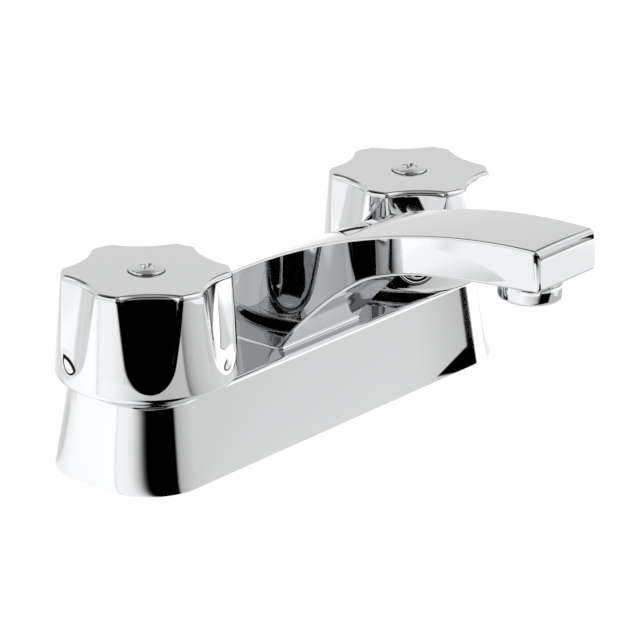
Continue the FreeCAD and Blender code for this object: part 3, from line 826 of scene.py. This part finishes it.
MAT["screw"] = material("screw_plate", (0.60, 0.605, 0.61), 1.0, 0.12, rough_var=0.04, scale=700.0, bump=3e-6, bump_scale=1200.0)


def put(o, mat):
    o.data.materials.clear()
    o.data.materials.append(MAT[mat])


slots = {s["node"]: s["material_slot"] for s in frame["record"]["subparts"]}
for n, o in frame["nodes"].items():
    o.data.materials.clear()
    o.data.materials.append(MAT[slots[n]])
    o.data.polygons.foreach_set("use_smooth", [True] * len(o.data.polygons))

# ---------------------------------------------------------------- pieces
body = body_mesh()
put(body, "chrome")
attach(body, "faucet")
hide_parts("body_casting")

collar = collar_mesh()
put(collar, "chrome")
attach(collar, "faucet")
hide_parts("aerator_housing")

for side, x in (("hot", -HX), ("cold", HX)):
    k = knob_mesh(side + "_knob", x)
    put(k, "chrome")
    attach(k, side + "_handle_body")
    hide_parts(side + "_handle")
    s = screw_mesh(side + "_screw", x, 14.2 if side == "hot" else 20.0)
    put(s, "screw")
    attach(s, side + "_handle_body")
    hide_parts(side + "_handle_screw")
    v = valve_mesh(side + "_barrel", x)
    put(v, "brass")
    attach(v, "faucet")
    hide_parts(side + "_valve_body")


# ---------------------------------------------------------------- studio
class Nodes:
    """Small arithmetic on shader nodes."""

    def __init__(self, nt):
        self.nt = nt

    def _in(self, sock, v):
        if isinstance(v, (int, float)):
            sock.default_value = v
        else:
            self.nt.links.new(v, sock)

    def op(self, kind, a, b=0.0, c=0.0):
        n = self.nt.nodes.new("ShaderNodeMath")
        n.operation = kind
        for k, v in enumerate((a, b, c)):
            self._in(n.inputs[k], v)
        return n.outputs[0]

    def step(self, v, lo, hi):
        """0 below lo, 1 above hi, smooth between (lo may be above hi for a falling edge)."""
        n = self.nt.nodes.new("ShaderNodeMapRange")
        n.interpolation_type = "SMOOTHSTEP"
        self._in(n.inputs["Value"], v)
        a, b, c, d = (lo, hi, 0.0, 1.0) if lo < hi else (hi, lo, 1.0, 0.0)
        n.inputs["From Min"].default_value, n.inputs["From Max"].default_value = a, b
        n.inputs["To Min"].default_value, n.inputs["To Max"].default_value = c, d
        return n.outputs["Result"]

    def band(self, v, a, b, sa, sb=None):
        """1 between a and b, with edges sa and sb wide."""
        sb = sa if sb is None else sb
        return self.op("MULTIPLY", self.step(v, a - sa / 2, a + sa / 2), self.step(v, b + sb / 2, b - sb / 2))

    def mul(self, *v):
        r = v[0]
        for q in v[1:]:
            r = self.op("MULTIPLY", r, q)
        return r

    def over(self, base, value, mask):
        """base where mask is 0, value where it is 1."""
        d = self.op("SUBTRACT", value, base)
        return self.op("ADD", base, self.op("MULTIPLY", d, mask))

    def curve(self, v, pts, span, top):
        """Straight lines through the points (position, value); span is the largest position, top the largest value."""
        n = self.nt.nodes.new("ShaderNodeValToRGB")
        n.color_ramp.interpolation = "LINEAR"
        els = n.color_ramp.elements
        while len(els) > 1:
            els.remove(els[-1])
        for k, (p, q) in enumerate(pts):
            c = els[0] if k == 0 else els.new(p / span)
            c.position = p / span
            c.color = (q / top, q / top, q / top, 1.0)
        self.nt.links.new(self.op("DIVIDE", v, span), n.inputs[0])
        return self.op("MULTIPLY", n.outputs[0], top)

    def azimuth(self, x, y):
        a = self.op("MULTIPLY", self.op("ARCTAN2", y, x), 180 / math.pi)
        return self.op("ADD", a, self.op("MULTIPLY", self.op("LESS_THAN", a, 0.0), 360.0))


def stage_material(name):
    m = bpy.data.materials.new(name)
    m.use_nodes = True
    nt = m.node_tree
    nt.nodes.clear()
    out = nt.nodes.new("ShaderNodeOutputMaterial")
    e = nt.nodes.new("ShaderNodeEmission")
    nt.links.new(e.outputs[0], out.inputs["Surface"])
    return m, nt, e


def plane_mesh(name, holes=True, z=0.0, R=6000.0):
    """Flat floor with two holes that pass the shanks, as a sink deck has."""
    b = Build()
    outer = b.pts([(-R, -R, z), (R, -R, z), (R, R, z), (-R, R, z)])
    loops = [outer]
    if holes:
        for sx in (-1, 1):
            loops.append(b.pts([(sx * HX + 12.0 * math.cos(a), 12.0 * math.sin(a), z)
                                for a in np.linspace(0, 2 * math.pi, 48, endpoint=False)]))
    b.fan_flat(loops, z, (0, 0, 1.0))
    return b.obj(name)


# pale floor, as the camera sees it
floor = plane_mesh("floor", z=-0.02)
m, nt, e = stage_material("floor_pale")
e.inputs["Strength"].default_value = 1.03
floor.data.materials.append(m)
floor.visible_glossy = False

# the studio's table as the polished metal mirrors it: pale, with a dark flag in front of the left corner and a
# narrow one beside the right corner
table = plane_mesh("table", z=-0.04)
m, nt, e = stage_material("table_light")
N = Nodes(nt)
geo = nt.nodes.new("ShaderNodeNewGeometry")
sep = nt.nodes.new("ShaderNodeSeparateXYZ")
nt.links.new(geo.outputs["Position"], sep.inputs[0])
X = N.op("MULTIPLY", sep.outputs[0], 1000.0)
Y = N.op("MULTIPLY", sep.outputs[1], 1000.0)
dx, dy = N.op("ADD", X, 61.0), N.op("ADD", Y, 15.0)
az = N.azimuth(dx, dy)
rad = N.op("SQRT", N.op("ADD", N.mul(dx, dx), N.mul(dy, dy)))
# distance across and along the narrow flag's line, which leaves the right corner towards the front
across = N.op("ADD", N.op("MULTIPLY", N.op("SUBTRACT", X, 60.0), 0.650), N.op("MULTIPLY", N.op("ADD", Y, 27.0), 0.760))
along = N.op("SUBTRACT", N.op("MULTIPLY", N.op("SUBTRACT", X, 60.0), 0.760), N.op("MULTIPLY", N.op("ADD", Y, 27.0), 0.650))
L = N.curve(az, [(0, 1.05), (90, 1.0), (97, 1.05), (106, 1.32), (120, 1.46), (146, 1.52), (153, 1.50), (156, 1.18), (159, 1.38),
                 (178, 1.34), (187, 1.22), (194, 1.0), (200, 0.78), (206, 0.42), (212, 0.08), (217, 0.0), (274, 0.0), (279, 0.55),
                 (283, 0.69), (291, 0.77), (300, 0.84), (316, 0.93), (330, 1.0), (345, 1.04), (360, 1.05)], 360.0, 2.0)
L = N.over(L, 0.97, N.mul(N.step(rad, 100.0, 140.0), N.band(az, 56.0, 98.0, 8.0)))
L = N.over(L, 1.03, N.mul(N.step(rad, 100.0, 140.0), N.band(az, 98.0, 113.0, 6.0)))
L = N.over(L, 0.88, N.mul(N.step(rad, 100.0, 88.0), N.band(az, 84.0, 100.0, 5.0)))
edge = N.curve(N.op("ADD", across, 100.0), [(0, 1.0), (78, 1.0), (86, 0.985), (91, 0.91), (98.7, 0.78), (100, 0.78)], 100.0, 1.0)
front = N.mul(N.band(az, 280.0, 358.0, 4.0, 4.0), N.step(across, 1.5, 0.5))
L = N.over(L, N.mul(L, edge), front)
# beyond the near field the front is brighter
far = N.mul(N.op("ADD", N.band(az, 296.0, 380.0, 8.0, 6.0), N.band(az, -20.0, 33.0, 7.0)), N.step(rad, 235.0, 290.0))
L = N.over(L, 1.34, N.mul(N.band(az, 112.0, 186.0, 10.0), N.step(rad, 260.0, 340.0)))
L = N.over(L, 1.60, far)
L = N.over(L, 0.88, N.mul(N.band(az, 38.0, 60.0, 5.0, 8.0), N.step(rad, 160.0, 260.0)))
tipz = N.mul(N.band(X, 85.0, 150.0, 30.0), N.band(Y, -235.0, -150.0, 20.0, 30.0))
L = N.over(L, 1.26, tipz)
# bright side of the right corner, with a faint grey line, and the narrow dark flag
right = N.mul(N.step(across, 0.6, 1.6), N.step(X, 52.0, 56.0), N.step(Y, 40.0, 10.0))
L = N.over(L, 1.70, right)
line = N.op("ADD", N.op("ADD", Y, 22.0), N.op("MULTIPLY", N.op("SUBTRACT", X, 77.0), 0.30))
L = N.over(L, 1.22, N.mul(right, N.band(line, -3.0, 3.0, 2.5)))
wide = N.op("MAXIMUM", N.op("MULTIPLY", N.op("SUBTRACT", 20.0, along), 0.26), 0.0)
flag = N.mul(N.step(N.op("ADD", across, wide), -0.85, -0.45), N.step(across, 1.6, 1.25), N.band(along, -14.0, 128.0, 3.0))
L = N.over(L, 0.0, flag)
L = N.over(L, 0.0, N.mul(N.step(rad, 250.0, 320.0), N.band(az, 188.0, 272.0, 5.0, 10.0)))
nt.links.new(L, e.inputs["Strength"])
table.data.materials.append(m)
table.visible_camera = False
table.visible_diffuse = False
table.visible_shadow = False

# small light card low in front of the spout's tip, seen by the aerator collar and the tip's near edge
b = Build()
apex = (-10.0, -87.0)
near, mid, out = [], [], []
for a in np.linspace(118, 366, 84):
    c, sn = math.cos(math.radians(a)), math.sin(math.radians(a))
    r1 = 64.0 if 172 < a < 258 else (36.5 if 314 < a < 334 else 50.0)
    near.append((apex[0] + 2.0 * c, apex[1] + 2.0 * sn, 40.0))
    mid.append((apex[0] + 36.0 * c, apex[1] + 36.0 * sn, 40.0))
    out.append((apex[0] + r1 * c, apex[1] + r1 * sn, 40.0))
i0, i1, i2 = b.pts(near), b.pts(mid), b.pts(out)
for k in range(len(i0) - 1):
    b.flat([i0[k], i0[k + 1], i1[k + 1], i1[k]], (0, 0, 1.0))
    b.flat([i1[k], i1[k + 1], i2[k + 1], i2[k]], (0, 0, 1.0))
card = b.obj("card")
m, nt, e = stage_material("card_light")
N = Nodes(nt)
geo = nt.nodes.new("ShaderNodeNewGeometry")
sep = nt.nodes.new("ShaderNodeSeparateXYZ")
nt.links.new(geo.outputs["Position"], sep.inputs[0])
dx = N.op("ADD", N.op("MULTIPLY", sep.outputs[0], 1000.0), 10.0)
dy = N.op("ADD", N.op("MULTIPLY", sep.outputs[1], 1000.0), 87.0)
az = N.azimuth(dx, dy)
rad = N.op("SQRT", N.op("ADD", N.op("MULTIPLY", dx, dx), N.op("MULTIPLY", dy, dy)))
L = N.curve(az, [(0, 1.0), (118, 1.3), (170, 1.45), (205, 1.15), (225, 1.0), (244, 0.75), (256, 0.15), (261, 0.0), (299, 0.0),
                 (303, 0.72), (360, 0.80)], 360.0, 2.0)
outer = N.mul(N.step(rad, 35.0, 37.0), N.step(az, 256.0, 250.0))
tall = N.curve(rad, [(0, 1.5), (36, 1.45), (48, 1.25), (56, 1.0), (60, 0.75), (62.5, 0.35), (64, 0.1)], 64.0, 2.0)
L = N.over(L, 1.46, outer)
L = N.over(L, 1.36, N.mul(outer, N.band(az, 100.0, 170.0, 4.0)))
L = N.over(L, tall, N.mul(outer, N.band(az, 203.0, 250.0, 8.0)))
nt.links.new(L, e.inputs["Strength"])
card.data.materials.append(m)
card.visible_camera = False
card.visible_diffuse = False
card.visible_shadow = False

# small upright card off the spout's end, seen only by the rounded edge along the top of that end
b = Build()
base = [(-8.0, -106.0), (27.2, -106.0), (27.21, -106.0), (38.0, -106.0)]
lo, hi = b.pts([(x, y, 58.5) for x, y in base]), b.pts([(x, y, 84.0) for x, y in base])
for k in range(3):
    b.flat([lo[k], lo[k + 1], hi[k + 1], hi[k]], (0, 1.0, 0))
card = b.obj("card_end")
m, nt, e = stage_material("card_end_light")
N = Nodes(nt)
geo = nt.nodes.new("ShaderNodeNewGeometry")
sep = nt.nodes.new("ShaderNodeSeparateXYZ")
nt.links.new(geo.outputs["Position"], sep.inputs[0])
X = N.op("MULTIPLY", sep.outputs[0], 1000.0)
H = N.op("SUBTRACT", N.op("MULTIPLY", sep.outputs[2], 1000.0), 58.0)
L = N.curve(H, [(0, 1.15), (2, 0.85), (4.5, 0.5), (6.5, 0.48), (9, 0.66), (13, 0.82), (18, 1.0), (24, 1.2)], 26.0, 2.0)
L = N.over(L, 0.0, N.mul(N.step(X, 28.5, 29.0), N.step(H, 20.0, 18.0)))
nt.links.new(L, e.inputs["Strength"])
card.data.materials.append(m)
card.visible_camera = False
card.visible_diffuse = False
card.visible_shadow = False

# light card at the height of the left handle's rim: the rim and the lobe beside the front flute show it
b = Build()
ring_in, ring_mid, ring_out = [], [], []
for a in np.linspace(178, 292, 58):
    r1 = 52.5 if a < 234 else (52.5 + (a - 234) * 1.9 if a < 262 else 250.0)
    r2 = min(r1, 80.0)
    c, sn = math.cos(math.radians(a)), math.sin(math.radians(a))
    ring_in.append((-HX + 34.0 * c, 34.0 * sn, 20.4))
    ring_mid.append((-HX + r2 * c, r2 * sn, 20.4 + (r2 - 34.0) * 0.055))
    ring_out.append((-HX + (r1 + 0.01) * c, (r1 + 0.01) * sn, 20.4 + (r2 - 34.0) * 0.055))
i0, i1, i2 = b.pts(ring_in), b.pts(ring_mid), b.pts(ring_out)
for k in range(len(i0) - 1):
    b.flat([i0[k], i0[k + 1], i1[k + 1], i1[k]], (0, 0, 1.0))
    b.flat([i1[k], i1[k + 1], i2[k + 1], i2[k]], (0, 0, 1.0))
card = b.obj("card_left")
m, nt, e = stage_material("card_left_light")
N = Nodes(nt)
geo = nt.nodes.new("ShaderNodeNewGeometry")
sep = nt.nodes.new("ShaderNodeSeparateXYZ")
nt.links.new(geo.outputs["Position"], sep.inputs[0])
az = N.azimuth(N.op("ADD", N.op("MULTIPLY", sep.outputs[0], 1000.0), HX), N.op("MULTIPLY", sep.outputs[1], 1000.0))
L = N.curve(az, [(0, 1.0), (178, 1.42), (190, 1.38), (202, 1.2), (213, 1.0), (225, 0.8), (240, 0.72), (261, 0.8), (263, 0.3), (268, 0.62), (276, 0.82),
                 (292, 0.95), (360, 1.0)], 360.0, 2.0)
nt.links.new(L, e.inputs["Strength"])
card.data.materials.append(m)
card.visible_camera = False
card.visible_diffuse = False
card.visible_shadow = False

# room: pale all round, dark where the camera stands, brighter to the left and right, dim overhead
w = bpy.data.worlds.new("studio")
scene.world = w
w.use_nodes = True
nt = w.node_tree
nt.nodes.clear()
out = nt.nodes.new("ShaderNodeOutputWorld")
bg = nt.nodes.new("ShaderNodeBackground")
nt.links.new(bg.outputs[0], out.inputs["Surface"])
N = Nodes(nt)
tc = nt.nodes.new("ShaderNodeTexCoord")
sep = nt.nodes.new("ShaderNodeSeparateXYZ")
nt.links.new(tc.outputs["Generated"], sep.inputs[0])
az = N.azimuth(sep.outputs[0], sep.outputs[1])
el = N.op("MULTIPLY", N.op("ARCSINE", sep.outputs[2]), 180 / math.pi)
low = N.curve(az, [(0, 1.10), (30, 1.15), (84, 1.08), (92, 1.3), (104, 1.9), (122, 1.9), (150, 1.42), (175, 1.32),
                   (187, 1.25), (191, 0.0), (264, 0.0), (270, 0.5), (283, 0.75), (294, 1.1), (304, 2.0), (326, 2.0),
                   (334, 1.45), (352, 1.45), (360, 1.10)],
              360.0, 2.0)
high = N.curve(az, [(0, 1.45), (6, 1.40), (16, 1.15), (92, 1.15), (100, 1.8), (186, 1.8), (192, 0.0), (262, 0.0),
                    (276, 0.8), (300, 1.4), (308, 2.0), (328, 2.0), (336, 1.5), (354, 1.5), (360, 1.45)], 360.0, 2.0)
L = N.over(low, high, N.step(el, 6.0, 16.0))
L = N.over(L, 0.85, N.mul(N.band(az, 330.0, 350.0, 8.0), N.band(el, 9.0, 20.0, 4.0, 6.0)))
L = N.over(L, 1.32, N.mul(N.band(az, 98.0, 188.0, 6.0), N.band(el, 16.0, 40.0, 4.0)))
L = N.over(L, 1.25, N.mul(N.band(az, 294.0, 345.0, 6.0), N.band(el, 23.0, 40.0, 3.0, 4.0)))
thin = N.band(el, -0.6, 2.0, 0.8)
L = N.over(L, 0.02, N.mul(N.band(el, -1.4, 3.4, 0.8), N.band(az, 80.0, 150.0, 6.0, 10.0)))
L = N.over(L, 0.20, N.mul(thin, N.op("ADD", N.band(az, 334.0, 380.0, 6.0), N.band(az, -20.0, 20.0, 6.0))))
back = N.band(az, 10.0, 98.0, 8.0, 10.0)
L = N.over(L, 0.32, N.mul(back, N.step(el, 31.0, 38.0)))
L = N.over(L, 0.05, N.mul(N.band(az, 48.0, 150.0, 14.0, 14.0), N.step(el, 50.0, 60.0)))
L = N.over(L, 0.10, N.mul(N.band(az, 150.0, 266.0, 20.0, 10.0), N.step(el, 60.0, 68.0)))
L = N.over(L, 0.42, N.mul(N.band(az, 194.0, 262.0, 6.0), N.band(el, 30.0, 52.0, 8.0)))
L = N.over(L, 0.62, N.step(el, 68.0, 76.0))
nt.links.new(L, bg.inputs["Strength"])
